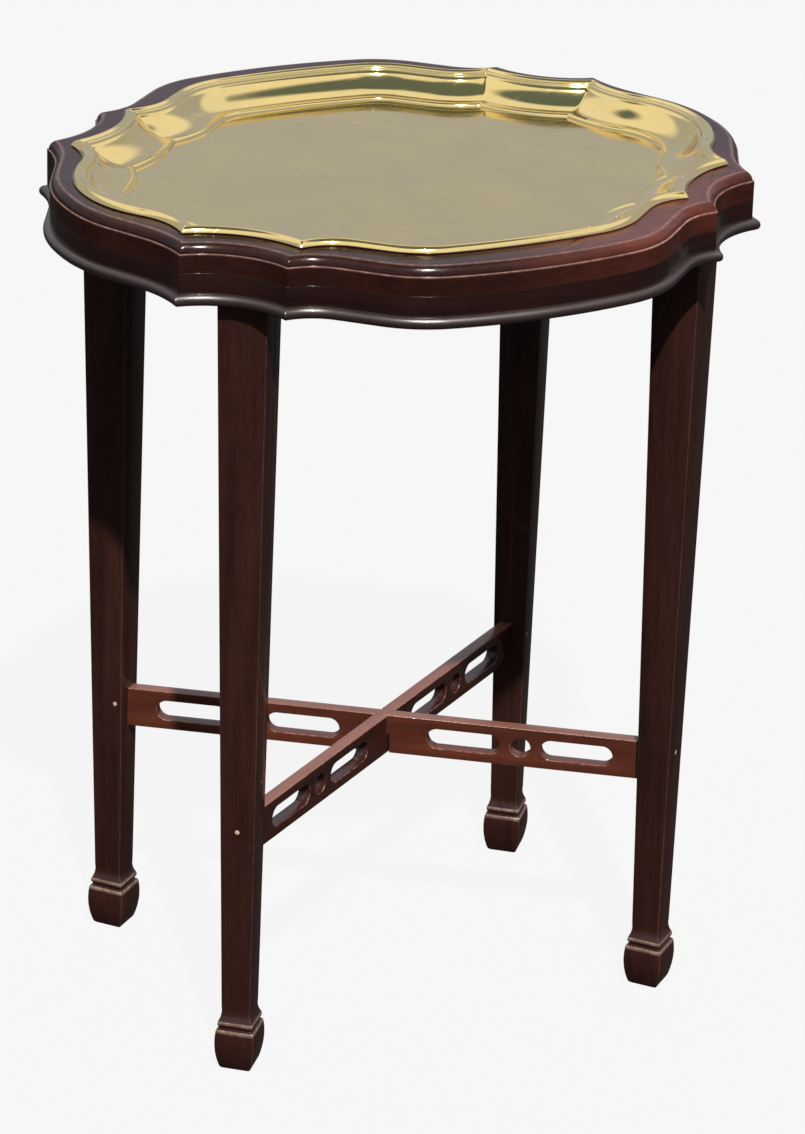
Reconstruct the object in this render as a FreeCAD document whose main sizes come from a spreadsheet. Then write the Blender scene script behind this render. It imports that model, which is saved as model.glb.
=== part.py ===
import FreeCAD, Part
import math
import os
from FreeCAD import Vector

# Mahogany side table with a lift-off brass tray.
# Table frame: X along the long way of the top, Y across it, Z up, origin on the floor at the centre.

doc = FreeCAD.newDocument("brass_tray_table")
sheet = doc.addObject("Spreadsheet::Sheet", "Sizes")

SIZES = {
    # heights above the floor
    "deck_z": 605.4, "arris_z": 599.0, "seam_z": 586.0, "apron_z": 572.6, "bead_z": 564.6,
    "rim_z": 610.0, "well_z": 592.2, "recess_z": 590.4,
    # wooden top: cusps, front/back side and left/right side
    "top_cusp_ax": 210.0, "top_cusp_ay": 116.5, "top_cusp_bx": 155.5, "top_cusp_by": 164.5,
    "top_scallop_dip": 11.0,
    "top_y_extent": 222.0, "top_y_mid_r": 380.0, "top_y_mid_deg": 9.8, "top_y_round_r": 75.0,
    "top_y_steep_deg": 43.9, "top_y_sweep_r": 41.0,
    "top_x_extent": 243.7, "top_x_mid_r": 307.0, "top_x_mid_deg": 1.1, "top_x_round_r": 110.0,
    "top_x_steep_deg": 27.1, "top_x_sweep_r": 91.0,
    # tray: the same form, smaller
    "tray_cusp_ax": 200.5, "tray_cusp_ay": 97.5, "tray_cusp_bx": 140.5, "tray_cusp_by": 151.5,
    "tray_scallop_dip": 10.5,
    "tray_y_extent": 196.0, "tray_y_mid_r": 520.0, "tray_y_mid_deg": 5.8, "tray_y_round_r": 66.0,
    "tray_y_steep_deg": 43.1, "tray_y_sweep_r": 38.0,
    "tray_x_extent": 230.5, "tray_x_mid_r": 166.0, "tray_x_mid_deg": 1.0, "tray_x_round_r": 87.0,
    "tray_x_steep_deg": 37.6, "tray_x_sweep_r": 52.5,
    # wooden top parts
    "ovolo_w": 5.2, "arris_ledge": 1.0, "recess_inset": 7.0,
    "apron_t": 18.0, "bead_out": 4.4, "bead_in": 8.0,
    # tray metal
    "sheet_t": 1.3, "border_w": 38.0,
    # legs
    "leg_x": 160.0, "leg_y": 116.0, "leg_turn": 50.0,
    "leg_top_w": 34.0, "leg_low_w": 20.6, "leg_low_z": 48.0,
    "cove_z": 36.8, "collar_w": 25.0, "collar_z": 34.4, "quirk_w": 23.2, "quirk_z": 31.9,
    "shoulder_w": 26.8, "shoulder_z": 30.7, "belly_w": 27.9, "belly_z": 17.0,
    "sole_w": 23.2, "sole_round": 4.0,
    # crossed stretchers
    "rail_z": 161.3, "rail_h": 29.2, "rail_t": 9.6, "slot_h": 15.0, "eye_r": 7.3, "eye_at": 99.0,
    "slot_in_from": 31.7, "slot_in_to": 84.5, "slot_out_from": 113.5, "slot_out_to": 165.0,
    "tenon_t": 6.0, "tenon_h": 20.0, "tenon_to": 195.0,
    # brads and their filled heads
    "brad_r": 0.8, "brad_len": 21.0, "brad_rise": 8.4, "brad_step": 3.0, "plug_r": 1.6, "plug_len": 2.0,
}
for row, (alias, value) in enumerate(SIZES.items(), start=1):
    sheet.set("A%d" % row, alias)
    sheet.set("B%d" % row, str(value))
    sheet.setAlias("B%d" % row, alias)
doc.recompute()


def val(alias):
    return float(sheet.get(alias))


# ---------------------------------------------------------------- plan outlines

def turned(radius, deg):
    """Offset of a given length, measured clockwise from the outward direction of a side."""
    a = math.radians(deg)
    return Vector(radius * math.sin(a), radius * math.cos(a), 0)


def swap(p):
    return Vector(p.y, p.x, p.z)


class HalfSide:
    """Half of one long side, in (along, outward) coordinates: middle arc, rounded shoulder,
    straight flank, then a hollow sweep that ends at the cusp."""

    def __init__(self, name, cusp):
        self.mid_r = val(name + "_mid_r")
        self.mid_deg = val(name + "_mid_deg")
        self.round_r = val(name + "_round_r")
        self.steep = val(name + "_steep_deg")
        self.sweep_r = val(name + "_sweep_r")
        self.cusp = cusp
        self.mid_c = Vector(0, val(name + "_extent") - self.mid_r, 0)
        self.round_c = self.mid_c + turned(self.mid_r - self.round_r, self.mid_deg)
        flank = self.round_c + turned(self.round_r, self.steep)
        along = turned(1, self.steep + 90)
        gap = cusp - flank - turned(self.sweep_r, self.steep)
        reach = gap.dot(along)
        run = reach - math.sqrt(reach ** 2 - gap.dot(gap) + self.sweep_r ** 2)
        self.sweep_c = flank + along * run + turned(self.sweep_r, self.steep)

    def pieces(self, inset, cusp, beyond=0.0):
        """Arcs and lines from the middle of the side to its cusp, moved inward by inset."""
        mid_r = self.mid_r - inset
        round_r = self.round_r - inset
        sweep_r = self.sweep_r + inset
        end = cusp - self.sweep_c
        end_deg = math.degrees(math.atan2(end.x, end.y)) % 360 - beyond
        start_deg = self.steep + 180
        flank = [self.round_c + turned(round_r, self.steep),
                 self.sweep_c + turned(sweep_r, start_deg)]
        return [arc(self.mid_c, mid_r, 0, self.mid_deg),
                arc(self.round_c, round_r, self.mid_deg, self.steep),
                flank,
                arc(self.sweep_c, sweep_r, start_deg, end_deg)]


def arc(centre, radius, deg0, deg1):
    """Start, middle and end of an arc, with its centre last."""
    return [centre + turned(radius, deg0), centre + turned(radius, (deg0 + deg1) / 2),
            centre + turned(radius, deg1), centre]


def circles_meet(c0, r0, c1, r1, near):
    """The point where two circles cross that lies nearest to a given point."""
    gap = c1 - c0
    reach = gap.Length
    a = (reach ** 2 + r0 ** 2 - r1 ** 2) / (2 * reach)
    h = math.sqrt(r0 ** 2 - a ** 2)
    foot = c0 + gap * (a / reach)
    side = Vector(-gap.y, gap.x, 0) * (h / reach)
    return min((foot + side, foot - side), key=lambda p: (p - near).Length)


class Outline:
    """Eight-cusped outline: four long sides and four hollow corner scallops."""

    def __init__(self, name):
        self.cusp_a = Vector(val(name + "_cusp_ax"), val(name + "_cusp_ay"), 0)
        self.cusp_b = Vector(val(name + "_cusp_bx"), val(name + "_cusp_by"), 0)
        self.x_side = HalfSide(name + "_x", swap(self.cusp_a))
        self.y_side = HalfSide(name + "_y", self.cusp_b)
        dip = val(name + "_scallop_dip")
        chord = self.cusp_b - self.cusp_a
        out = Vector(-chord.y, chord.x, 0) * (-1 / chord.Length)
        self.scallop_r = (chord.Length ** 2 / 4 + dip ** 2) / (2 * dip)
        self.scallop_c = (self.cusp_a + self.cusp_b) * 0.5 + out * (self.scallop_r - dip)

    def cusps(self, inset):
        a = circles_meet(swap(self.x_side.sweep_c), self.x_side.sweep_r + inset,
                         self.scallop_c, self.scallop_r + inset, self.cusp_a)
        b = circles_meet(self.y_side.sweep_c, self.y_side.sweep_r + inset,
                         self.scallop_c, self.scallop_r + inset, self.cusp_b)
        return a, b

    def quarter(self, inset, beyond=0.0):
        """The +X +Y quarter as (half X side, scallop, half Y side)."""
        a, b = self.cusps(inset)
        half_x = [[swap(p) for p in piece] for piece in self.x_side.pieces(inset, swap(a), beyond)]
        half_y = self.y_side.pieces(inset, b, beyond)
        start = a - self.scallop_c
        end = b - self.scallop_c
        deg0 = math.degrees(math.atan2(start.x, start.y)) % 360 - beyond
        deg1 = math.degrees(math.atan2(end.x, end.y)) % 360 + beyond
        return half_x, [arc(self.scallop_c, self.scallop_r + inset, deg0, deg1)], half_y


def flipped(pieces, sx, sy):
    return [[Vector(p.x * sx, p.y * sy, p.z) for p in piece] for piece in pieces]


def reverse(pieces):
    return [piece[:3][::-1] + piece[3:] if len(piece) == 4 else piece[::-1]
            for piece in reversed(pieces)]


def side_run(outline, side, inset, beyond=0.0):
    """One whole side, counter-clockwise, as pieces. Sides are right, back, left and front,
    corners are back_right, back_left, front_left and front_right."""
    half_x, scallop, half_y = outline.quarter(inset, beyond)
    if side in ("right", "left"):
        s = 1 if side == "right" else -1
        return reverse(flipped(half_x, s, -s)) + flipped(half_x, s, s)
    if side in ("back", "front"):
        s = 1 if side == "back" else -1
        return reverse(flipped(half_y, s, s)) + flipped(half_y, -s, s)
    sx, sy = CORNERS[side]
    run = flipped(scallop, sx, sy)
    return run if sx * sy > 0 else reverse(run)


CORNERS = {"back_right": (1, 1), "back_left": (-1, 1), "front_left": (-1, -1), "front_right": (1, -1)}
AROUND = ["right", "back_right", "back", "back_left", "left", "front_left", "front", "front_right"]


def curve(piece):
    if len(piece) == 4:
        return Part.Arc(piece[0], piece[1], piece[2])
    return Part.LineSegment(piece[0], piece[1])


def run_ends(run):
    last = run[-1]
    return run[0][0], last[2] if len(last) == 4 else last[1]


# ---------------------------------------------------------------- shared builders

def sketch(name, curves, z_expr="0"):
    """Flat closed sketch at a height taken from the sheet."""
    sk = doc.addObject("Sketcher::SketchObject", name)
    sk.addGeometry(curves, False)
    sk.setExpression("Placement.Base.z", z_expr)
    return sk


def extrusion(name, base, length_expr):
    ext = doc.addObject("Part::Extrusion", name)
    ext.Base = base
    ext.DirMode = "Normal"
    ext.Solid = True
    ext.setExpression("LengthFwd", length_expr)
    return ext


def box(name, sizes, corner, turn_deg=0.0):
    """Box with sheet-driven sizes, turned about the vertical axis through the table's centre."""
    b = doc.addObject("Part::Box", name)
    for prop, expr in zip(("Length", "Width", "Height"), sizes):
        b.setExpression(prop, expr)
    b.Placement = FreeCAD.Placement(corner, FreeCAD.Rotation(Vector(0, 0, 1), turn_deg), -corner)
    b.Placement.Base = FreeCAD.Rotation(Vector(0, 0, 1), turn_deg).multVec(corner)
    b.setExpression("Placement.Base.z", "%s" % corner.z)
    return b


def solid_feature(name, shape):
    feature = doc.addObject("Part::Feature", name)
    feature.Shape = shape
    feature.Placement = FreeCAD.Placement()
    return feature


def cut(name, base, tools):
    """Base with every tool taken away."""
    if len(tools) == 1:
        tool = tools[0]
    else:
        tool = doc.addObject("Part::Compound", name + "_tools")
        tool.Links = tools
    result = doc.addObject("Part::Cut", name)
    result.Base = base
    result.Tool = tool
    return result


def carved(name, base, tools):
    """Base with swept sections or another piece's shape taken away one after another."""
    doc.recompute()
    shape = base.Shape
    for tool in tools:
        shape = shape.cut(tool)
    shape = shape.removeSplitter()
    return solid_feature(name, shape.Solids[0] if len(shape.Solids) == 1 else shape)


def section_face(profile, origin, inward):
    """Closed moulding section standing on the outline: points are (depth, height); a point
    of three entries gives an arc's middle point as its first pair."""
    def place(pair):
        return origin + inward * pair[0] + Vector(0, 0, pair[1])
    edges = []
    here = profile[0]
    for step in profile[1:] + profile[:1]:
        if isinstance(step[0], tuple):
            edges.append(Part.Arc(place(here), place(step[0]), place(step[1])).toShape())
            here = step[1]
        else:
            edges.append(Part.LineSegment(place(here), place(step)).toShape())
            here = step
    return Part.Face(Part.Wire(edges))


def moulding_waste(outline, profile, side):
    """Solid swept by a section along one side of an outline, run on past both its cusps."""
    solids = []
    for piece in side_run(outline, side, 0.0, beyond=9):
        start = piece[0]
        if len(piece) == 4:
            centre = piece[3]
            spoke = start - centre
            bulge = piece[1] - (start + piece[2]) * 0.5
            inward = spoke * ((-1 if bulge.dot(piece[1]) > 0 else 1) / spoke.Length)
            end = piece[2] - centre
            turn = math.degrees(math.atan2(spoke.x * end.y - spoke.y * end.x, spoke.dot(end)))
            solids.append(section_face(profile, start, inward).revolve(centre, Vector(0, 0, 1), turn))
        else:
            travel = piece[1] - start
            inward = Vector(-travel.y, travel.x, 0) * (1 / travel.Length)
            solids.append(section_face(profile, start, inward).extrude(travel))
    if len(solids) == 1:
        return solids[0]
    return solids[0].multiFuse(solids[1:]).removeSplitter().Solids[0]


def all_waste(outline, profile):
    return [moulding_waste(outline, profile, side) for side in AROUND]


def whole_outline(outline, inset):
    return [curve(piece) for side in AROUND for piece in side_run(outline, side, inset)]


top = Outline("top")
tray = Outline("tray")
finished = {}


def finish(node, obj):
    obj.Label = node
    finished[node] = obj


# ---------------------------------------------------------------- legs

def half(alias):
    return val(alias) / 2


def leg_silhouette():
    """Half-widths of the square leg from the sole upward; a pair of pairs marks an arc."""
    cove = ((half("leg_low_w") + 0.4, val("cove_z") + 4.4), (half("leg_low_w"), val("leg_low_z")))
    sole = ((half("sole_w") - 1.1, 1.2), (half("sole_w") + 0.2, val("sole_round") + 0.4))
    belly = ((half("belly_w"), val("belly_z")), (half("shoulder_w"), val("shoulder_z")))
    return [(half("sole_w") - val("sole_round"), 0), sole, belly,
            (half("shoulder_w") - 0.9, val("quirk_z")), (half("quirk_w"), val("quirk_z")),
            (half("quirk_w"), val("collar_z")), (half("collar_w"), val("collar_z")),
            (half("collar_w"), val("cove_z")), cove,
            (half("leg_top_w"), val("bead_z")), (half("leg_top_w"), val("seam_z"))]


def silhouette_curves():
    """Closed silhouette of the leg, drawn across X with height along Y."""
    curves = []
    for s in (1, -1):
        here = None
        for step in leg_silhouette():
            if isinstance(step[0], tuple):
                mid, end = step
                curves.append(Part.Arc(Vector(s * here[0], here[1], 0), Vector(s * mid[0], mid[1], 0),
                                       Vector(s * end[0], end[1], 0)))
                here = end
            else:
                if here:
                    curves.append(Part.LineSegment(Vector(s * here[0], here[1], 0),
                                                   Vector(s * step[0], step[1], 0)))
                here = step
    first, last = leg_silhouette()[0], leg_silhouette()[-1]
    for w, z in (first, last):
        curves.append(Part.LineSegment(Vector(-w, z, 0), Vector(w, z, 0)))
    return curves


def leg_blank(node, sx, sy):
    """Square leg: the same silhouette seen from two sides, one crossed with the other."""
    slabs = []
    for turn in (0, 90):
        sk = doc.addObject("Sketcher::SketchObject", "%s_face_%d" % (node, turn))
        sk.addGeometry(silhouette_curves(), False)
        angle = sx * sy * val("leg_turn") + turn
        upright = FreeCAD.Rotation(Vector(1, 0, 0), 90)
        sk.Placement = FreeCAD.Placement(Vector(), FreeCAD.Rotation(Vector(0, 0, 1), angle) * upright)
        sk.setExpression("Placement.Base.x", "%d * Sizes.leg_x" % sx)
        sk.setExpression("Placement.Base.y", "%d * Sizes.leg_y" % sy)
        slab = extrusion("%s_slab_%d" % (node, turn), sk, "Sizes.leg_top_w * 1.2")
        slab.Symmetric = True
        slabs.append(slab)
    common = doc.addObject("Part::MultiCommon", node + "_blank")
    common.Shapes = slabs
    return common


rail_mid_z = val("rail_z") + val("rail_h") / 2
tenon_z = rail_mid_z - val("tenon_h") / 2


def arm_turn(sx, sy):
    """Heading of the stretcher arm that meets the leg in one corner."""
    return math.degrees(math.atan2(sy * val("leg_y"), sx * val("leg_x")))


def arm_box(name, sx, sy, start, length, thick, height, z):
    corner = Vector(val(start) if isinstance(start, str) else start, -val(thick) / 2, z)
    return box(name, (length, "Sizes." + thick, height), corner, arm_turn(sx, sy))


def leg_face_dirs(sx, sy):
    """Outward direction of the leg's outer face, and the side direction towards the long side."""
    a = math.radians(val("leg_turn"))
    out = Vector(sx * math.cos(a), sy * math.sin(a), 0)
    along = Vector(sx * math.sin(a), -sy * math.cos(a), 0)
    return out, along


brad_z = rail_mid_z + val("brad_rise")
leg_w_at_brad = val("leg_low_w") + ((val("leg_top_w") - val("leg_low_w"))
                                    * (brad_z - val("leg_low_z")) / (val("bead_z") - val("leg_low_z")))


def brad_lines(sx, sy):
    """Start point on the leg's face and inward direction of the two brads at one leg."""
    centre = Vector(sx * val("leg_x"), sy * val("leg_y"), brad_z)
    out, along = leg_face_dirs(sx, sy)
    second = centre - out * 7.0 - Vector(0, 0, val("brad_step"))
    w = leg_w_at_brad / 2
    return [(centre + out * w, out * -1), (second + along * w, along * -1)]


brads = []
plugs = []
legs = {}
tenons = {}
for corner, (sx, sy) in CORNERS.items():
    legs[corner] = leg_blank("leg_" + corner, sx, sy)
    tenons[corner] = arm_box("tenon_" + corner, sx, sy, 178.0, "Sizes.tenon_to - 178", "tenon_t",
                             "Sizes.tenon_h", tenon_z)
    for start, inward in brad_lines(sx, sy):
        first = start - inward * 0.3
        plugs.append(Part.makeCylinder(val("plug_r"), val("plug_len") + 0.3, first, inward))
        brads.append(Part.makeCylinder(val("brad_r"), val("brad_len"),
                                       start + inward * val("plug_len"), inward))
doc.recompute()
legs_fused = legs["front_left"].Shape.multiFuse([legs[c].Shape for c in CORNERS if c != "front_left"])
brad_pins = solid_feature("brad_pins", Part.makeCompound(brads))
plug_pins = solid_feature("plug_pins", Part.makeCompound(plugs))
leg_mass = solid_feature("leg_mass", legs_fused)

for corner in CORNERS:
    finish("leg_" + corner, cut("leg_%s_bored" % corner, legs[corner],
                                [tenons[corner], brad_pins, plug_pins]))
finish("stretcher_brads", solid_feature("brads", Part.makeCompound(brads)))
flush_plugs = doc.addObject("Part::MultiCommon", "plugs_flush")
flush_plugs.Shapes = [leg_mass, plug_pins]
finish("putty_plugs", flush_plugs)

# ---------------------------------------------------------------- stretchers

RAILS = {"stretcher_front_left_to_back_right": (("front_left", "back_right"), "under"),
         "stretcher_back_left_to_front_right": (("back_left", "front_right"), "over")}
for node, (ends, lap) in RAILS.items():
    heading = CORNERS[ends[1]]
    other = CORNERS["front_right"] if heading == (1, 1) else CORNERS["back_right"]
    reach = math.hypot(val("leg_x"), val("leg_y"))
    bar = arm_box(node + "_bar", *heading, -reach, "%s" % (2 * reach), "rail_t", "Sizes.rail_h",
                  val("rail_z"))
    piercing = []
    for sx, sy in (heading, (-heading[0], -heading[1])):
        spin = FreeCAD.Rotation(Vector(0, 0, 1), arm_turn(sx, sy))
        across = spin.multVec(Vector(0, 1, 0))
        centre_z = Vector(0, 0, rail_mid_z)
        r = val("slot_h") / 2
        for start, stop in (("slot_in_from", "slot_in_to"), ("slot_out_from", "slot_out_to")):
            a, b = val(start) + r, val(stop) - r
            caps = [Part.makeCylinder(r, 20, spin.multVec(Vector(x, 0, 0)) + centre_z - across * 10, across)
                    for x in (a, b)]
            middle = Part.makeBox(b - a, 20, 2 * r, Vector(a, -10, rail_mid_z - r))
            middle.rotate(Vector(), Vector(0, 0, 1), arm_turn(sx, sy))
            piercing.append(caps[0].multiFuse([caps[1], middle]).removeSplitter())
        eye = spin.multVec(Vector(val("eye_at"), 0, 0)) + centre_z
        piercing.append(Part.makeCylinder(val("eye_r"), 20, eye - across * 10, across))
    holes = solid_feature(node + "_piercing", Part.makeCompound(piercing))
    lap_z = val("rail_z") if lap == "under" else rail_mid_z
    notch = arm_box(node + "_notch", *other, -30.0, "60", "rail_t", "Sizes.rail_h / 2", lap_z)
    shouldered = cut(node + "_shouldered", bar, [holes, notch, leg_mass])
    joined = doc.addObject("Part::MultiFuse", node + "_tenoned")
    doc.recompute()
    blades = []
    for end in ends:
        blade = doc.addObject("Part::MultiCommon", "%s_tenon_%s" % (node, end))
        blade.Shapes = [tenons[end], leg_mass]
        blades.append(blade)
    joined.Shapes = [shouldered] + blades
    joined.Refine = True
    finish(node, cut(node + "_drilled", joined, [brad_pins]))

# ---------------------------------------------------------------- apron and bead

leg_out, _ = leg_face_dirs(1, 1)
leg_plane = leg_out.dot(Vector(val("leg_x"), val("leg_y"), 0)) + half("leg_top_w")


def to_leg_plane(outer, inner, sx, sy):
    """Where a mitre line meets the plane of the leg's outer face."""
    n = Vector(leg_out.x * sx, leg_out.y * sy, 0)
    t = (leg_plane - n.dot(outer)) / n.dot(inner - outer)
    return outer + (inner - outer) * t


def band_curves(side, outer_inset, inner_inset):
    """Plan of one mitred band piece; a corner piece has a flat back against its leg."""
    outer = side_run(top, side, outer_inset)
    start, end = run_ends(outer)
    if side in CORNERS:
        deep0, deep1 = run_ends(side_run(top, side, 20.0))
        near0, near1 = run_ends(side_run(top, side, 0.0))
        sx, sy = CORNERS[side]
        back = [to_leg_plane(near1, deep1, sx, sy), to_leg_plane(near0, deep0, sx, sy)]
        path = [end] + ([near1] if outer_inset else []) + back + ([near0] if outer_inset else []) + [start]
        return [curve(p) for p in outer] + [Part.LineSegment(p, q) for p, q in zip(path, path[1:])]
    inner = side_run(top, side, inner_inset)
    near0, near1 = run_ends(side_run(top, side, 0.0))
    start_in, end_in = run_ends(inner)
    joints = [[end, near1, end_in], [start_in, near0, start]] if outer_inset else [[end, end_in],
                                                                                [start_in, start]]
    closing = [Part.LineSegment(p, q) for path in joints for p, q in zip(path, path[1:])]
    return [curve(p) for p in outer + inner] + closing


bead_z, apron_z = val("bead_z"), val("apron_z")
out = val("bead_out")
BEAD_WASTE = [(-out - 4, apron_z + 1), (0.6, apron_z + 1), (-0.6, apron_z - 0.25),
              ((-out + 0.7, apron_z - 1.9), (-out, apron_z - 4.3)),
              ((-out + 0.5, bead_z + 1.5), (-out + 1.9, bead_z + 0.2)),
              (-out + 2.6, bead_z - 1), (-out - 4, bead_z - 1)]

for side in AROUND:
    plan = sketch("apron_plan_" + side, band_curves(side, 0.0, val("apron_t")), "Sizes.apron_z")
    finish("apron_" + side, extrusion("apron_band_" + side, plan, "Sizes.seam_z - Sizes.apron_z"))
    plan = sketch("bead_plan_" + side, band_curves(side, -out, val("bead_in")), "Sizes.bead_z")
    strip = extrusion("bead_strip_" + side, plan, "Sizes.apron_z - Sizes.bead_z")
    finish("bead_" + side,
           carved("bead_round_" + side, strip, [moulding_waste(top, BEAD_WASTE, side)]))

# ---------------------------------------------------------------- top board

deck_z, arris_z = val("deck_z"), val("arris_z")
ledge, ovolo = val("arris_ledge"), val("ovolo_w")
OVOLO_WASTE = [(-6, arris_z), (ledge, arris_z),
               (((ledge + ovolo) / 2 - 0.92, (arris_z + deck_z) / 2 + 0.6), (ovolo, deck_z)),
               (ovolo, deck_z + 1), (-6, deck_z + 1)]
board_plan = sketch("board_plan", whole_outline(top, 0.0), "Sizes.seam_z")
board_blank = extrusion("board_blank", board_plan, "Sizes.deck_z - Sizes.seam_z")
recess_plan = sketch("recess_plan", whole_outline(tray, val("recess_inset")), "Sizes.recess_z")
recess = extrusion("recess", recess_plan, "Sizes.deck_z - Sizes.recess_z + 1")
moulded = carved("board_moulded", board_blank, all_waste(top, OVOLO_WASTE))
finish("top_board", cut("board", moulded, [recess]))

# ---------------------------------------------------------------- brass tray

rim_z, well_z, t = val("rim_z"), val("well_z"), val("sheet_t")
w = val("border_w")
border_in, hollow_in = w - 4.6, w - 2.4


def dip(start, low, end, steps):
    """Points along the hollow that runs from start to end through low."""
    hollow = Part.Arc(Vector(*start, 0), Vector(*low, 0), Vector(*end, 0)).toShape()
    return [(p.x, p.y) for p in hollow.discretize(steps + 1)]


# The section of the sheet as (inset, height): from the well out over the rim, and back below.
OVER = [(w - 0.1, well_z), (w - 0.9, well_z + 1.9), (w - 1.8, well_z + 2.6), (w - 3.4, well_z + 2.8)]
BORDER = dip((border_in, well_z + 2.0), (20.8, well_z + 5.0), (11.2, rim_z - 3.9), 6)
RIM = [(10.3, rim_z - 3.7), (9.5, rim_z - 1.7), (8.8, rim_z - 1.25), (6.4, rim_z - 1.35), (4.9, rim_z - 0.4),
       (3.9, rim_z), (2.7, rim_z - 0.35), (1.5, rim_z - 1.3), (0.6, rim_z - 2.6), (0, deck_z + 0.8)]
LIP = [(0.5, deck_z + 0.3), (1.6, deck_z), (3.8, deck_z), (4.9, rim_z - 3.4), (7.6, rim_z - 3.4)]
BELOW = dip((9.6, rim_z - 5.2), (20.1, well_z + 3.9), (hollow_in - 1.6, well_z + 0.9), 6)
section = OVER + BORDER + RIM + LIP + BELOW + [(hollow_in, well_z + 0.9), (w - 0.6, well_z - t)]


def ring(inset, height):
    """The edges of the tray's outline at an inset and height."""
    edges = [curve(piece).toShape() for side in AROUND for piece in side_run(tray, side, inset)]
    for edge in edges:
        edge.translate(Vector(0, 0, height))
    return edges


rings = [ring(*point) for point in section]
sheet_faces = [Part.makeRuledSurface(low, high)
               for one, other in zip(rings, rings[1:]) for low, high in zip(one, other)]
well_faces = [Part.Face(Part.Wire(rings[0])), Part.Face(Part.Wire(rings[-1]))]
skin = Part.makeShell(sheet_faces + well_faces)
skin.sewShape()
finish("brass_tray", solid_feature("tray_metal", Part.Solid(skin)))

# ---------------------------------------------------------------- checks and export

doc.recompute()
for obj in doc.Objects:
    bad = [s for s in obj.State if s in ("Invalid", "Error")]
    if bad:
        raise RuntimeError("%s: %s" % (obj.Name, bad))
os.makedirs("parts", exist_ok=True)
for node, obj in finished.items():
    shape = obj.Shape
    if shape.isNull() or not shape.isValid() or not shape.Solids:
        raise RuntimeError("%s has no valid solid" % node)
    b = shape.BoundBox
    print("%-40s solids %d faces %3d vol %10.1f  z %.2f..%.2f" % (
        node, len(shape.Solids), len(shape.Faces), shape.Volume, b.ZMin, b.ZMax))
    shape.exportStep("parts/%s.step" % node)
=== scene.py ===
import math
import random

import bmesh
import bpy
from mathutils import Matrix, Vector, noise


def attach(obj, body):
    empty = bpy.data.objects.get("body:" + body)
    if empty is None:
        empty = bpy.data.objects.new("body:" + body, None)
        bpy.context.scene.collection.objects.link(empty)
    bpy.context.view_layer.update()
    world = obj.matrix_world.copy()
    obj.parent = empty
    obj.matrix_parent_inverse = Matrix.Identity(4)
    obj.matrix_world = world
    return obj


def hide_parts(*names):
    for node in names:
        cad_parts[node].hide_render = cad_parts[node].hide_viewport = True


# Mahogany table with a lift-off brass tray. Sizes of the table are in millimetres, and meshes are scaled
# to metres as they are made. Texture scales, bump distances, the floor and the camera are in metres.

MM = 0.001
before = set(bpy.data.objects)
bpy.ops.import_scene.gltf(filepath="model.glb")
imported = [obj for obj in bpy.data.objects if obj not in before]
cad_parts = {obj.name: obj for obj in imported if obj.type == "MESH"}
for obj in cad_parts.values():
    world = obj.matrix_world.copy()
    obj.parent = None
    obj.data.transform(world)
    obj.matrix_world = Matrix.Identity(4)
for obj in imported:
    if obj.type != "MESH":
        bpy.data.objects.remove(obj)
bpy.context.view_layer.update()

DECK_Z, ARRIS_Z, SEAM_Z, APRON_Z, BEAD_Z = 605.4, 599.0, 586.0, 572.6, 564.6
RIM_Z, WELL_Z, RECESS_Z = 610.0, 592.2, 590.4
OVOLO_W, LEDGE, BEAD_OUT, BEAD_IN, APRON_T = 5.2, 1.0, 4.4, 8.0, 18.0
BORDER_W, SHEET_T, RECESS_INSET = 38.0, 1.3, 7.0
LEG_X, LEG_Y, LEG_TURN, LEG_TOP_HALF = 160.0, 116.0, 50.0, 17.0
RAIL_Z, RAIL_H, RAIL_T, RAIL_REACH, RAIL_EASE = 161.3, 29.2, 9.6, 190.0, 0.55
SLOTS, SLOT_R, EYE_AT, EYE_R = ((31.7, 84.5), (113.5, 165.0)), 7.5, 99.0, 7.3
CORNERS = {"back_right": (1, 1), "back_left": (-1, 1), "front_left": (-1, -1), "front_right": (1, -1)}
AROUND = ["right", "back_right", "back", "back_left", "left", "front_left", "front", "front_right"]


# ---------------------------------------------------------------- plan outlines

def turned(radius, deg):
    """Offset of a given length, measured clockwise from the outward direction of a side."""
    a = math.radians(deg)
    return Vector((radius * math.sin(a), radius * math.cos(a)))


def swap(p):
    return Vector((p.y, p.x))


def arc_points(centre, radius, deg0, deg1, steps):
    return [centre + turned(radius, deg0 + (deg1 - deg0) * i / steps) for i in range(steps + 1)]


class HalfSide:
    """Half a long side in (along, outward): middle arc, shoulder arc, straight flank, hollow sweep."""

    def __init__(self, extent, mid_r, mid_deg, round_r, steep, sweep_r, cusp):
        self.mid_r, self.mid_deg, self.round_r = mid_r, mid_deg, round_r
        self.steep, self.sweep_r = steep, sweep_r
        self.mid_c = Vector((0, extent - mid_r))
        self.round_c = self.mid_c + turned(mid_r - round_r, mid_deg)
        flank = self.round_c + turned(round_r, steep)
        along = turned(1, steep + 90)
        gap = cusp - flank - turned(sweep_r, steep)
        reach = gap.dot(along)
        run = reach - math.sqrt(reach ** 2 - gap.dot(gap) + sweep_r ** 2)
        self.sweep_c = flank + along * run + turned(sweep_r, steep)
        self.mid_steps = max(3, round(mid_r * math.radians(mid_deg) / 2.5))

    def points(self, inset, cusp):
        end = cusp - self.sweep_c
        end_deg = math.degrees(math.atan2(end.x, end.y)) % 360
        middle = arc_points(self.mid_c, self.mid_r - inset, 0, self.mid_deg, self.mid_steps)
        shoulder = arc_points(self.round_c, self.round_r - inset, self.mid_deg, self.steep, 24)
        sweep = arc_points(self.sweep_c, self.sweep_r + inset, self.steep + 180, end_deg, 24)
        flank = [shoulder[-1].lerp(sweep[0], i / 4) for i in range(1, 4)]
        return middle[:-1] + shoulder + flank + sweep


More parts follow.
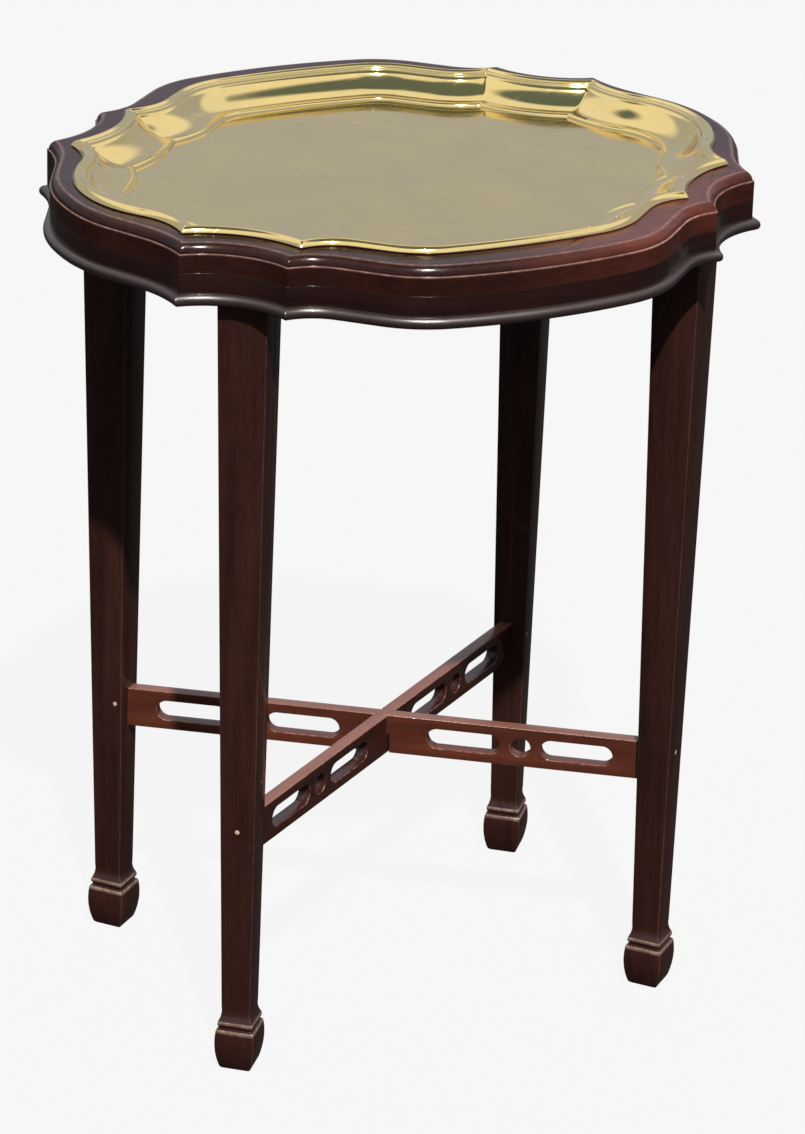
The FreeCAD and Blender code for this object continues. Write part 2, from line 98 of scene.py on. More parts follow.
def circles_meet(c0, r0, c1, r1, near):
    gap = c1 - c0
    reach = gap.length
    a = (reach ** 2 + r0 ** 2 - r1 ** 2) / (2 * reach)
    h = math.sqrt(r0 ** 2 - a ** 2)
    foot = c0 + gap * (a / reach)
    side = Vector((-gap.y, gap.x)) * (h / reach)
    return min((foot + side, foot - side), key=lambda p: (p - near).length)


class Outline:
    """Eight-cusped outline. A ring is the outline at one inset, as points that match ring to ring."""

    def __init__(self, cusp_a, cusp_b, dip, x_side, y_side, soft):
        self.cusp_a, self.cusp_b, self.soft = Vector(cusp_a), Vector(cusp_b), soft
        self.x_side = HalfSide(*x_side, swap(self.cusp_a))
        self.y_side = HalfSide(*y_side, self.cusp_b)
        chord = self.cusp_b - self.cusp_a
        out = Vector((-chord.y, chord.x)) * (-1 / chord.length)
        self.scallop_r = (chord.length ** 2 / 4 + dip ** 2) / (2 * dip)
        self.scallop_c = (self.cusp_a + self.cusp_b) * 0.5 + out * (self.scallop_r - dip)

    def quarter(self, inset):
        """Points from the middle of the +X side to the middle of the +Y side, and its two cusps."""
        r = self.scallop_r + inset
        a = circles_meet(swap(self.x_side.sweep_c), self.x_side.sweep_r + inset,
                         self.scallop_c, r, self.cusp_a)
        b = circles_meet(self.y_side.sweep_c, self.y_side.sweep_r + inset,
                         self.scallop_c, r, self.cusp_b)
        half_x = [swap(p) for p in self.x_side.points(inset, swap(a))]
        half_y = self.y_side.points(inset, b)
        degs = [math.degrees(math.atan2(v.x, v.y)) % 360 for v in (a - self.scallop_c, b - self.scallop_c)]
        scallop = arc_points(self.scallop_c, r, degs[0], degs[1], 30)
        points = half_x[:-1] + rounded_cusp(half_x[-2], a, scallop[1], self.soft)
        mark_a = len(half_x) + 1
        points += scallop[1:-1]
        mark_b = len(points) + 2
        points += rounded_cusp(scallop[-2], b, half_y[-2], self.soft) + half_y[-2::-1]
        return points, (mark_a, mark_b)

    def ring(self, inset):
        """The whole outline, counter-clockwise, beginning at the first cusp of the right side."""
        q, (mark_a, mark_b) = self.quarter(inset)
        last = len(q) - 1
        loop, marks = [], []
        for sx, sy in CORNERS.values():
            forward = sx * sy > 0
            points = [Vector((p.x * sx, p.y * sy)) for p in q]
            cusps = (mark_a, mark_b) if forward else (last - mark_b, last - mark_a)
            marks += [len(loop) + m for m in cusps]
            loop += (points if forward else points[::-1])[:-1]
        start = marks[-1]
        shifted = sorted((m - start) % len(loop) for m in marks)
        return loop[start:] + loop[:start], shifted


def rounded_cusp(before, cusp, after, soft):
    """Five points round a cusp in place of the sharp one."""
    p0 = cusp + (before - cusp) * (soft / (before - cusp).length)
    p1 = cusp + (after - cusp) * (soft / (after - cusp).length)
    return [p0 * (1 - t) ** 2 + cusp * (2 * t * (1 - t)) + p1 * t ** 2 for t in (0, 0.25, 0.5, 0.75, 1)]


TOP = Outline((210.0, 116.5), (155.5, 164.5), 11.0, (243.7, 307.0, 1.1, 110.0, 27.1, 91.0),
              (222.0, 380.0, 9.8, 75.0, 43.9, 41.0), 0.8)
TRAY = Outline((200.5, 97.5), (140.5, 151.5), 10.5, (230.5, 166.0, 1.0, 87.0, 37.6, 52.5),
               (196.0, 520.0, 5.8, 66.0, 43.1, 38.0), 1.2)


def rounded(path, closed=False):
    """Polyline whose corners are eased. Each point is (a, b) or (a, b, length cut from each side)."""
    out = []
    n = len(path)
    for i, step in enumerate(path):
        p = Vector(step[:2])
        ease = step[2] if len(step) > 2 else 0
        if not ease or (not closed and i in (0, n - 1)):
            out.append(p)
            continue
        back = Vector(path[i - 1][:2]) - p
        ahead = Vector(path[(i + 1) % n][:2]) - p
        cut = min(ease, back.length * 0.49, ahead.length * 0.49)
        p0, p1 = p + back.normalized() * cut, p + ahead.normalized() * cut
        out += [p0 * (1 - t) ** 2 + p * (2 * t * (1 - t)) + p1 * t ** 2 for t in (0, 0.25, 0.5, 0.75, 1)]
    return out


def through(p0, p1, p2, steps):
    """Points after p0 along the arc through three points."""
    a, b, c = Vector(p0), Vector(p1), Vector(p2)
    d = 2 * (a.x * (b.y - c.y) + b.x * (c.y - a.y) + c.x * (a.y - b.y))
    ux = (a.dot(a) * (b.y - c.y) + b.dot(b) * (c.y - a.y) + c.dot(c) * (a.y - b.y)) / d
    uy = (a.dot(a) * (c.x - b.x) + b.dot(b) * (a.x - c.x) + c.dot(c) * (b.x - a.x)) / d
    centre = Vector((ux, uy))
    spoke = a - centre
    turn = spoke.angle_signed(c - centre)
    out = []
    for i in range(1, steps + 1):
        t = -turn * i / steps
        out.append((centre.x + spoke.x * math.cos(t) - spoke.y * math.sin(t),
                    centre.y + spoke.x * math.sin(t) + spoke.y * math.cos(t)))
    return out


# ---------------------------------------------------------------- mesh helpers

def make_piece(name, verts, faces, grain, wear_and_sheen, material, smooth_deg=35, paler_and_sheen=None):
    """Mesh object in metres, with a grain coordinate, an edge mask for wear chips and a painted edge
    highlight, and perhaps a paler amount (a paler patch, or painted highlight on stretcher tops) at each
    vertex.
    """
    mesh = bpy.data.meshes.new(name)
    mesh.from_pydata([Vector(v) * MM for v in verts], [], faces)
    bm = bmesh.new()
    bm.from_mesh(mesh)
    bmesh.ops.recalc_face_normals(bm, faces=bm.faces)
    bm.to_mesh(mesh)
    bm.free()
    shift = random.Random(name)
    offset = Vector([shift.uniform(-9, 9) for _ in range(3)])
    along = mesh.attributes.new("grain", "FLOAT_VECTOR", "POINT")
    along.data.foreach_set("vector", [c for g in grain for c in (Vector(g) * MM + offset)])
    pale_edge = mesh.attributes.new("wear_and_sheen", "FLOAT", "POINT")
    pale_edge.data.foreach_set("value", wear_and_sheen)
    if paler_and_sheen:
        pale = mesh.attributes.new("paler_and_sheen", "FLOAT", "POINT")
        pale.data.foreach_set("value", paler_and_sheen)
    mesh.materials.append(material)
    mesh.shade_smooth()
    mesh.set_sharp_from_angle(angle=math.radians(smooth_deg))
    piece = bpy.data.objects.new(name, mesh)
    bpy.context.scene.collection.objects.link(piece)
    return piece


def quads(rows, columns, wrap_rows, wrap_columns):
    faces = []
    for r in range(rows if wrap_rows else rows - 1):
        for c in range(columns if wrap_columns else columns - 1):
            r1, c1 = (r + 1) % rows, (c + 1) % columns
            faces.append((r * columns + c, r * columns + c1, r1 * columns + c1, r1 * columns + c))
    return faces


def lengths(points):
    total, out = 0.0, [0.0]
    for p, q in zip(points, points[1:]):
        total += (q - p).length
        out.append(total)
    return out


# ---------------------------------------------------------------- materials

def new_material(name):
    material = bpy.data.materials.new(name)
    material.use_nodes = True
    tree = material.node_tree
    tree.nodes.clear()
    out = tree.nodes.new("ShaderNodeOutputMaterial")
    shader = tree.nodes.new("ShaderNodeBsdfPrincipled")
    tree.links.new(shader.outputs[0], out.inputs["Surface"])
    return material, tree, shader


class Graph:
    """Short names for the nodes that the materials share."""

    def __init__(self, tree):
        self.tree = tree

    def node(self, kind, **settings):
        made = self.tree.nodes.new(kind)
        for key, value in settings.items():
            setattr(made, key, value)
        return made

    def link(self, source, target):
        self.tree.links.new(source, target)

    def feed(self, socket, value):
        if isinstance(value, (int, float, tuple)):
            socket.default_value = value
        else:
            self.link(value, socket)

    def attribute(self, name, output="Vector"):
        return self.node("ShaderNodeAttribute", attribute_name=name).outputs[output]

    def stretch(self, vector, scale, turn=(0, 0, 0)):
        m = self.node("ShaderNodeMapping")
        self.link(vector, m.inputs["Vector"])
        m.inputs["Scale"].default_value = scale
        m.inputs["Rotation"].default_value = turn
        return m.outputs[0]

    def noise(self, vector, scale=1.0, detail=3.0, rough=0.55, distortion=0.0):
        n = self.node("ShaderNodeTexNoise")
        self.link(vector, n.inputs["Vector"])
        n.inputs["Scale"].default_value = scale
        n.inputs["Detail"].default_value = detail
        n.inputs["Roughness"].default_value = rough
        n.inputs["Distortion"].default_value = distortion
        return n.outputs["Fac"]

    def span(self, value, lo, hi, to_lo=0.0, to_hi=1.0):
        m = self.node("ShaderNodeMapRange", clamp=True)
        self.link(value, m.inputs["Value"])
        for key, number in zip(("From Min", "From Max", "To Min", "To Max"), (lo, hi, to_lo, to_hi)):
            m.inputs[key].default_value = number
        return m.outputs[0]

    def math(self, op, a, b=0.0, clamp=False):
        m = self.node("ShaderNodeMath", operation=op, use_clamp=clamp)
        self.feed(m.inputs[0], a)
        self.feed(m.inputs[1], b)
        return m.outputs[0]

    def mix(self, fac, a, b, blend="MIX"):
        m = self.node("ShaderNodeMix", data_type="RGBA", blend_type=blend)
        self.feed(m.inputs[0], fac)
        self.feed(m.inputs[6], a)
        self.feed(m.inputs[7], b)
        return m.outputs[2]

    def bump(self, height, distance, strength=1.0, under=None):
        b = self.node("ShaderNodeBump")
        b.inputs["Distance"].default_value = distance
        b.inputs["Strength"].default_value = strength
        self.link(height, b.inputs["Height"])
        if under is not None:
            self.link(under, b.inputs["Normal"])
        return b.outputs[0]


def wood(name, dark, light, rough, pale_edge=(0.20, 0.10, 0.075, 1), rub_and_sheen=0.0, paler_and_sheen=None,
         specular=0.3, coat=0.25):
    """Stained, lacquered mahogany. Grain coordinate X runs along the fibres, in metres.

    Edges show pale wear chips, over an even pale line of the rub amount; on the top's arrises that
    even line is partly real wear and partly painted highlight. The paler colour pair is used where the
    paler amount is set: a paler patch at the front right of the top, and painted highlight on the
    stretchers' top faces.
    """
    material, tree, shader = new_material(name)
    g = Graph(tree)
    grain = g.attribute("grain")
    broad = g.noise(g.stretch(grain, (4, 28, 28)), 1.0, 3, 0.5, 0.6)
    bands = g.noise(g.stretch(grain, (9, 150, 150)), 1.0, 4, 0.6, 0.3)
    fibre = g.noise(g.stretch(grain, (30, 1300, 1300)), 1.0, 3, 0.6)
    pore = g.noise(g.stretch(grain, (170, 2400, 2400)), 1.0, 2, 0.5)
    ripple = g.noise(g.stretch(grain, (55, 14, 14)), 1.0, 2, 0.5, 0.8)
    tone = g.math("ADD", g.math("MULTIPLY", g.span(broad, 0.3, 0.72), 0.34),
                  g.math("MULTIPLY", g.span(bands, 0.3, 0.7), 0.34))
    tone = g.math("ADD", tone, g.math("MULTIPLY", g.span(fibre, 0.3, 0.7), 0.22))
    tone = g.math("ADD", tone, g.math("MULTIPLY", g.span(ripple, 0.35, 0.7), 0.08), True)
    colour = g.mix(tone, dark, light)
    # Paler colour where the paler amount is set: a paler patch on the top, and painted highlight on the
    # stretchers' top faces.
    if paler_and_sheen:
        colour = g.mix(g.attribute("paler_and_sheen", "Fac"), colour, g.mix(tone, *paler_and_sheen))
    pores = g.span(pore, 0.60, 0.70)
    pore_colour = (dark[0] * 0.35, dark[1] * 0.35, dark[2] * 0.35, 1)
    colour = g.mix(g.math("MULTIPLY", pores, 0.55), colour, pore_colour)
    chip = g.noise(grain, 190, 4, 0.65)
    # Pale edges: wear chips, plus an even pale line that is partly painted highlight.
    edge = g.math("MULTIPLY", g.attribute("wear_and_sheen", "Fac"), g.span(chip, 0.45, 0.61, rub_and_sheen))
    edge = g.math("MULTIPLY", edge, 0.75, True)
    colour = g.mix(edge, colour, pale_edge)
    g.link(colour, shader.inputs["Base Color"])
    haze = g.noise(g.stretch(grain, (24, 40, 40)), 1.0, 4, 0.6)
    gloss = g.math("ADD", g.span(haze, 0.3, 0.75, rough - 0.07, rough + 0.10),
                   g.math("MULTIPLY", pores, 0.12))
    g.link(g.math("ADD", gloss, g.math("MULTIPLY", edge, 0.2), True), shader.inputs["Roughness"])
    uneven = g.noise(g.stretch(grain, (60, 90, 90)), 1.0, 2, 0.5)
    normal = g.bump(uneven, 0.00012, 0.4)
    normal = g.bump(g.math("SUBTRACT", fibre, pores), 0.00003, 0.5, normal)
    g.link(normal, shader.inputs["Normal"])
    shader.inputs["Specular IOR Level"].default_value = specular
    shader.inputs["Coat Weight"].default_value = coat
    shader.inputs["Coat Roughness"].default_value = 0.07
    shader.inputs["Coat IOR"].default_value = 1.5
    return material


def brass(name):
    """Polished, lightly scratched and unevenly tarnished brass."""
    material, tree, shader = new_material(name)
    g = Graph(tree)
    place = g.attribute("grain")
    cloud = g.noise(place, 14, 5, 0.6, 0.5)
    spots = g.noise(place, 95, 4, 0.6)
    colour = g.mix(g.span(cloud, 0.35, 0.72), (0.86, 0.67, 0.29, 1), (0.76, 0.61, 0.31, 1))
    colour = g.mix(g.span(spots, 0.62, 0.78, 0.0, 0.35), colour, (0.50, 0.38, 0.20, 1))
    scratches = None
    for i, turn in enumerate((0.15, 0.95, 1.9, 2.6)):
        lines = g.noise(g.stretch(place, (16 + 5 * i, 1500 + 170 * i, 400), (0, 0, turn)), 1.0, 2, 0.5)
        lines = g.span(lines, 0.66, 0.72)
        scratches = lines if scratches is None else g.math("MAXIMUM", scratches, lines)
    patch = g.span(g.noise(place, 22, 3, 0.6), 0.42, 0.62)
    scratches = g.math("MULTIPLY", scratches, patch)
    colour = g.mix(g.math("MULTIPLY", scratches, 0.25), colour, (0.92, 0.82, 0.58, 1))
    g.link(colour, shader.inputs["Base Color"])
    shader.inputs["Metallic"].default_value = 1.0
    gloss = g.math("ADD", g.span(cloud, 0.3, 0.75, 0.06, 0.12), g.math("MULTIPLY", scratches, 0.14))
    g.link(gloss, shader.inputs["Roughness"])
    wave = g.noise(place, 16, 1, 0.4)
    normal = g.bump(wave, 0.0005, 0.12)
    normal = g.bump(scratches, 0.00002, 0.4, normal)
    g.link(normal, shader.inputs["Normal"])
    return material


def filler(name):
    """Pale filler over the brad heads."""
    material, tree, shader = new_material(name)
    g = Graph(tree)
    place = g.node("ShaderNodeTexCoord").outputs["Object"]
    mottle = g.noise(place, 900, 3, 0.6)
    g.link(g.mix(g.span(mottle, 0.3, 0.7), (0.50, 0.34, 0.27, 1), (0.22, 0.13, 0.10, 1)),
           shader.inputs["Base Color"])
    g.link(g.span(mottle, 0.3, 0.7, 0.45, 0.7), shader.inputs["Roughness"])
    g.link(g.bump(mottle, 0.0001, 0.5), shader.inputs["Normal"])
    return material


def steel(name):
    """Dull wire of the brads."""
    material, tree, shader = new_material(name)
    g = Graph(tree)
    place = g.node("ShaderNodeTexCoord").outputs["Object"]
    rust = g.noise(place, 700, 4, 0.6)
    g.link(g.mix(g.span(rust, 0.4, 0.7), (0.36, 0.35, 0.34, 1), (0.16, 0.09, 0.06, 1)),
           shader.inputs["Base Color"])
    shader.inputs["Metallic"].default_value = 1.0
    g.link(g.span(rust, 0.3, 0.7, 0.3, 0.6), shader.inputs["Roughness"])
    g.link(g.bump(rust, 0.00005, 0.5), shader.inputs["Normal"])
    return material


# Top: the even pale line on its arrises is partly painted highlight; its paler colour pair makes the front
# right paler.
TOP_WOOD = wood("mahogany_top", (0.004, 0.0018, 0.0016, 1), (0.024, 0.0066, 0.005, 1), 0.18,
                pale_edge=(0.26, 0.15, 0.13, 1), rub_and_sheen=0.55, specular=0.15, coat=0.15,
                paler_and_sheen=((0.022, 0.006, 0.0045, 1), (0.115, 0.028, 0.018, 1)))
APRON_WOOD = wood("mahogany_apron", (0.003, 0.0015, 0.0013, 1), (0.016, 0.0055, 0.0048, 1), 0.20)
# Bead: its lighter, greyer tone than the apron is partly painted sheen.
BEAD_TONE_AND_SHEEN = wood("mahogany_bead", (0.006, 0.0033, 0.0033, 1), (0.020, 0.010, 0.009, 1), 0.36, specular=0.7)
LEG_WOOD = wood("mahogany_leg", (0.005, 0.002, 0.0018, 1), (0.034, 0.0105, 0.008, 1), 0.24,
                pale_edge=(0.20, 0.13, 0.10, 1), rub_and_sheen=0.5)
# Painted highlight: the lighter colour pair for the stretchers' top faces.
RAIL_TOP_PAINTED_SHEEN = ((0.060, 0.024, 0.018, 1), (0.17, 0.066, 0.046, 1))
RAIL_WOOD = wood("mahogany_stretcher", (0.018, 0.005, 0.0033, 1), (0.078, 0.020, 0.0115, 1), 0.24,
                 paler_and_sheen=RAIL_TOP_PAINTED_SHEEN)
# Darker copy of the stretcher wood: painted shade on the front-left to back-right stretcher.
SHADED_RAIL_WOOD = wood("mahogany_stretcher_painted_shade", (0.006, 0.002, 0.0017, 1), (0.034, 0.010, 0.0075, 1), 0.24,
                      paler_and_sheen=RAIL_TOP_PAINTED_SHEEN)
BRASS = brass("polished_brass")
FILLER = filler("wood_filler")
STEEL = steel("brad_steel")


# ---------------------------------------------------------------- brass tray

def sag(x, y):
    """Slight unevenness of the well, in millimetres."""
    return noise.noise(Vector((x, y, 7)) * 0.010) * 0.12


def tray_piece():
    """Pressed sheet from the well out over the border and rolled rim, and back underneath."""
    over = [(BORDER_W - 0.1, WELL_Z, 0.5), (BORDER_W - 1.0, WELL_Z + 2.0, 0.9),
            (BORDER_W - 2.4, WELL_Z + 2.85, 0.8), (BORDER_W - 4.6, WELL_Z + 2.0, 0.6)]
    start, finish = (BORDER_W - 4.6, WELL_Z + 2.0), (11.4, RIM_Z - 4.0)
    hollow = through(start, (20.8, WELL_Z + 5.0), finish, 14)
    rim = [(10.3, RIM_Z - 3.7, 0.5), (9.5, RIM_Z - 1.7, 0.6), (8.8, RIM_Z - 1.3, 0.4),
           (6.4, RIM_Z - 1.4, 0.8), (4.9, RIM_Z - 0.45, 0.7), (3.9, RIM_Z, 0.9), (2.7, RIM_Z - 0.4, 1.2),
           (1.5, RIM_Z - 1.35, 1.2), (0.65, RIM_Z - 2.65, 0.9), (0.05, DECK_Z + 0.8, 0.4)]
    lip = [(0.6, DECK_Z + 0.35, 0.3), (1.6, DECK_Z + 0.02, 0.3), (3.8, DECK_Z + 0.02),
           (4.9, RIM_Z - 3.4), (7.6, RIM_Z - 3.4)]
    below = [(9.6, RIM_Z - 5.2)] + through((9.6, RIM_Z - 5.2), (20.1, WELL_Z + 3.9), (34.0, WELL_Z + 0.9), 10)
    section = rounded(over + hollow[:-1] + [finish] + rim + lip + below
                      + [(35.6, WELL_Z + 0.9), (BORDER_W - 0.6, WELL_Z - SHEET_T)])
    verts = []
    for inset, z in section:
        ring, _ = TRAY.ring(inset)
        verts += [(p.x, p.y, z) for p in ring]
    columns = len(verts) // len(section)
    faces = quads(len(section), columns, False, True)
    inner = TRAY.ring(BORDER_W)[0]
    for z, first in ((WELL_Z, 0), (WELL_Z - SHEET_T, (len(section) - 1) * columns)):
        edge = first
        for share in (0.94, 0.84, 0.7, 0.54, 0.36, 0.18):
            here = len(verts)
            for p in inner:
                q = p * share
                verts.append((q.x, q.y, z + sag(q.x, q.y) * min(1, (1 - share) * 5)))
            faces += [(edge + c, edge + (c + 1) % columns, here + (c + 1) % columns, here + c)
                      for c in range(columns)]
            edge = here
        verts.append((0, 0, z + sag(0, 0)))
        faces += [(edge + c, edge + (c + 1) % columns, len(verts) - 1) for c in range(columns)]
    grain = [(v[0], v[1], v[2] * 0.2) for v in verts]
    return make_piece("tray_shell", verts, faces, grain, [0.0] * len(verts), BRASS, 50)


tray = tray_piece()
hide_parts("brass_tray")
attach(tray, "tray")


# ---------------------------------------------------------------- wooden top

PALE_CENTRE, PALE_RADIUS = (115, -175), 150


def front_right_paleness(x, y):
    """How much paler the top is, strongest at the front right of the top."""
    away = math.hypot(x - PALE_CENTRE[0], y - PALE_CENTRE[1])
    return max(0.0, 1 - away / PALE_RADIUS) ** 0.7


def top_piece():
    """Board with a quarter-round edge over a small step, and the recess that holds the tray."""
    verts, wear_and_sheen, paler_and_sheen = [], [], []
    quarter_round = through((LEDGE, ARRIS_Z), ((LEDGE + OVOLO_W) / 2 - 0.92, (ARRIS_Z + DECK_Z) / 2 + 0.6),
                            (OVOLO_W, DECK_Z), 12)
    section = rounded([(0, SEAM_Z), (0.0, ARRIS_Z - 1.3), (0.0, ARRIS_Z, 0.45), (LEDGE, ARRIS_Z + 0.02, 0.25)]
                      + quarter_round[:-1] + [(OVOLO_W, DECK_Z, 0.3), (OVOLO_W + 2, DECK_Z)])
    for inset, z in section:
        verts += [(p.x, p.y, z) for p in TOP.ring(inset)[0]]
        # Edge mask at the arris and at the crest of the quarter-round: real wear chips, and an even pale line
        # that is partly painted highlight.
        lift = max(0.0, 1 - math.hypot(inset - 0.1, z - ARRIS_Z) / 0.9)
        crest = max(0.0, 1 - abs(inset - OVOLO_W) / 1.2) * 0.5
        for x, y, _ in verts[len(wear_and_sheen):]:
            chipped = 1.8 if y < -150 and 60 < x < 140 else 1.0
            wear_and_sheen.append(max(lift * chipped, crest))
            # Paler towards the front right, at 0.45 of the amount on the edge face below the arris.
            paler_and_sheen.append(front_right_paleness(x, y) * (1.0 if z > ARRIS_Z else 0.45))
    rows = len(section)
    for inset, z in ((RECESS_INSET - 0.5, DECK_Z), (RECESS_INSET, DECK_Z - 0.5), (RECESS_INSET, RECESS_Z)):
        verts += [(p.x, p.y, z) for p in TRAY.ring(inset)[0]]
        wear_and_sheen += [0.0] * (len(verts) - len(wear_and_sheen))
        paler_and_sheen += [front_right_paleness(x, y) for x, y, _ in verts[len(paler_and_sheen):]]
        rows += 1
    columns = len(verts) // rows
    faces = quads(rows, columns, False, True)
    faces.append(tuple(range(columns)))
    faces.append(tuple(range((rows - 1) * columns, rows * columns)))
    return make_piece("top_moulded", verts, faces, verts, wear_and_sheen, TOP_WOOD, paler_and_sheen=paler_and_sheen)


board = top_piece()
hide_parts("top_board")
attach(board, "table")


# ---------------------------------------------------------------- apron and bead bands

leg_out = Vector((math.cos(math.radians(LEG_TURN)), math.sin(math.radians(LEG_TURN))))
leg_plane = leg_out.dot(Vector((LEG_X, LEG_Y))) + LEG_TOP_HALF


def band(name, side, section, back_inset, material):
    """One mitred band along one side. A corner band has its back flat against the leg."""
    marks = TOP.ring(0)[1] + [len(TOP.ring(0)[0])]
    i = AROUND.index(side)
    columns = marks[i + 1] - marks[i] + 1

    def run(inset):
        loop = TOP.ring(inset)[0]
        return [loop[k % len(loop)] for k in range(marks[i], marks[i + 1] + 1)]

    near, deep = run(0.0), run(20.0)
    path = lengths(near)
    verts, grain = [], []
    for inset, z in section:
        line = run(inset)
        if inset == back_inset and side in CORNERS:
            sx, sy = CORNERS[side]
            n = Vector((leg_out.x * sx, leg_out.y * sy))
            line = [p + (q - p) * ((leg_plane - n.dot(p)) / n.dot(q - p)) for p, q in zip(near, deep)]
        verts += [(p.x, p.y, z) for p in line]
        grain += [(s, z, inset) for s in path]
    faces = quads(len(section), columns, True, False)
    rows = len(section)
    faces.append(tuple(r * columns for r in range(rows)))
    faces.append(tuple(r * columns + columns - 1 for r in range(rows)))
    return make_piece(name, verts, faces, grain, [0.0] * len(verts), material)


apron_section = rounded([(APRON_T, APRON_Z), (APRON_T, SEAM_Z), (0.0, SEAM_Z, 0.2), (0.0, APRON_Z, 0.2)],
                        closed=True)
nose = (-BEAD_OUT, APRON_Z - 4.3)
roll = through((-0.6, APRON_Z - 0.25), (-BEAD_OUT + 0.7, APRON_Z - 1.9), nose, 12)
roll += through(nose, (-BEAD_OUT + 0.5, BEAD_Z + 1.5), (-BEAD_OUT + 1.9, BEAD_Z + 0.2), 8)
bead_section = rounded([(BEAD_IN, BEAD_Z), (BEAD_IN, APRON_Z), (0.5, APRON_Z), (-0.6, APRON_Z - 0.25, 0.2)]
                       + roll + [(-BEAD_OUT + 2.3, BEAD_Z, 0.3)], closed=True)
for side in AROUND:
    apron = band("apron_band_" + side, side, apron_section, APRON_T, APRON_WOOD)
    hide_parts("apron_" + side)
    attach(apron, "table")
    bead = band("bead_band_" + side, side, bead_section, BEAD_IN, BEAD_TONE_AND_SHEEN)
    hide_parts("bead_" + side)
    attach(bead, "table")


# ---------------------------------------------------------------- legs

def leg_profile():
    """(half width, height) of the square leg from the sole up."""
    belly = through((11.8, 4.4), (13.95, 17.0), (13.4, 30.7), 12)
    cove = through((12.5, 36.8), (10.7, 41.2), (10.3, 48.0), 10)
    half, z = 10.3, 48.0
    taper = [(half + (LEG_TOP_HALF - half) * i / 8, z + (BEAD_Z - z) * i / 8) for i in range(1, 9)]
    return rounded([(7.6, 0.0), (9.3, 0.35, 0.5), (10.9, 1.6, 0.9), (11.8, 4.4, 0.8)] + belly[:-1]
                   + [(13.4, 30.7, 0.5), (12.5, 31.9, 0.4), (11.6, 31.95, 0.2), (11.6, 34.35, 0.2),
                      (12.45, 34.4, 0.3), (12.5, 36.8, 0.5)] + cove + taper + [(LEG_TOP_HALF, SEAM_Z)])


CORNER_EASE = 0.8
EDGE_WEAR = 0.25


def leg_piece(corner):
    """Square leg with softened corners, worn at the corners and at the two lips of the foot."""
    sx, sy = CORNERS[corner]
    turn = math.radians(LEG_TURN) * sx * sy
    verts, grain, wear_and_sheen = [], [], []
    easing = (0.0, 0.5, 1.0)
    for half, z in leg_profile():
        for qx, qy in ((1, 1), (-1, 1), (-1, -1), (1, -1)):
            for t in (easing if qx * qy > 0 else easing[::-1]):
                off = (CORNER_EASE * (1 - t) ** 2, CORNER_EASE * t ** 2)
                x, y = qx * (half - off[1]), qy * (half - off[0])
                verts.append((sx * LEG_X + x * math.cos(turn) - y * math.sin(turn),
                              sy * LEG_Y + x * math.sin(turn) + y * math.cos(turn), z))
                grain.append((z, x, y))
                lip = 1.0 if 30.2 < z < 31.4 or 36.2 < z < 37.3 else 0.0
                wear_and_sheen.append(max(lip, EDGE_WEAR if t == 0.5 else 0.0))
    columns = 12
    rows = len(verts) // columns
    faces = quads(rows, columns, False, True)
    faces.append(tuple(range(columns)))
    faces.append(tuple(range((rows - 1) * columns, rows * columns)))
    return make_piece("leg_turned_" + corner, verts, faces, grain, wear_and_sheen, LEG_WOOD)


for corner in CORNERS:
    leg = leg_piece(corner)
    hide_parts("leg_" + corner)
    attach(leg, "table")


# ---------------------------------------------------------------- pierced stretchers

def add_spline(curve, points):
    spline = curve.splines.new("POLY")
    spline.points.add(len(points) - 1)
    for target, p in zip(spline.points, points):
        target.co = (p[0] * MM, p[1] * MM, 0, 1)
    spline.use_cyclic_u = True


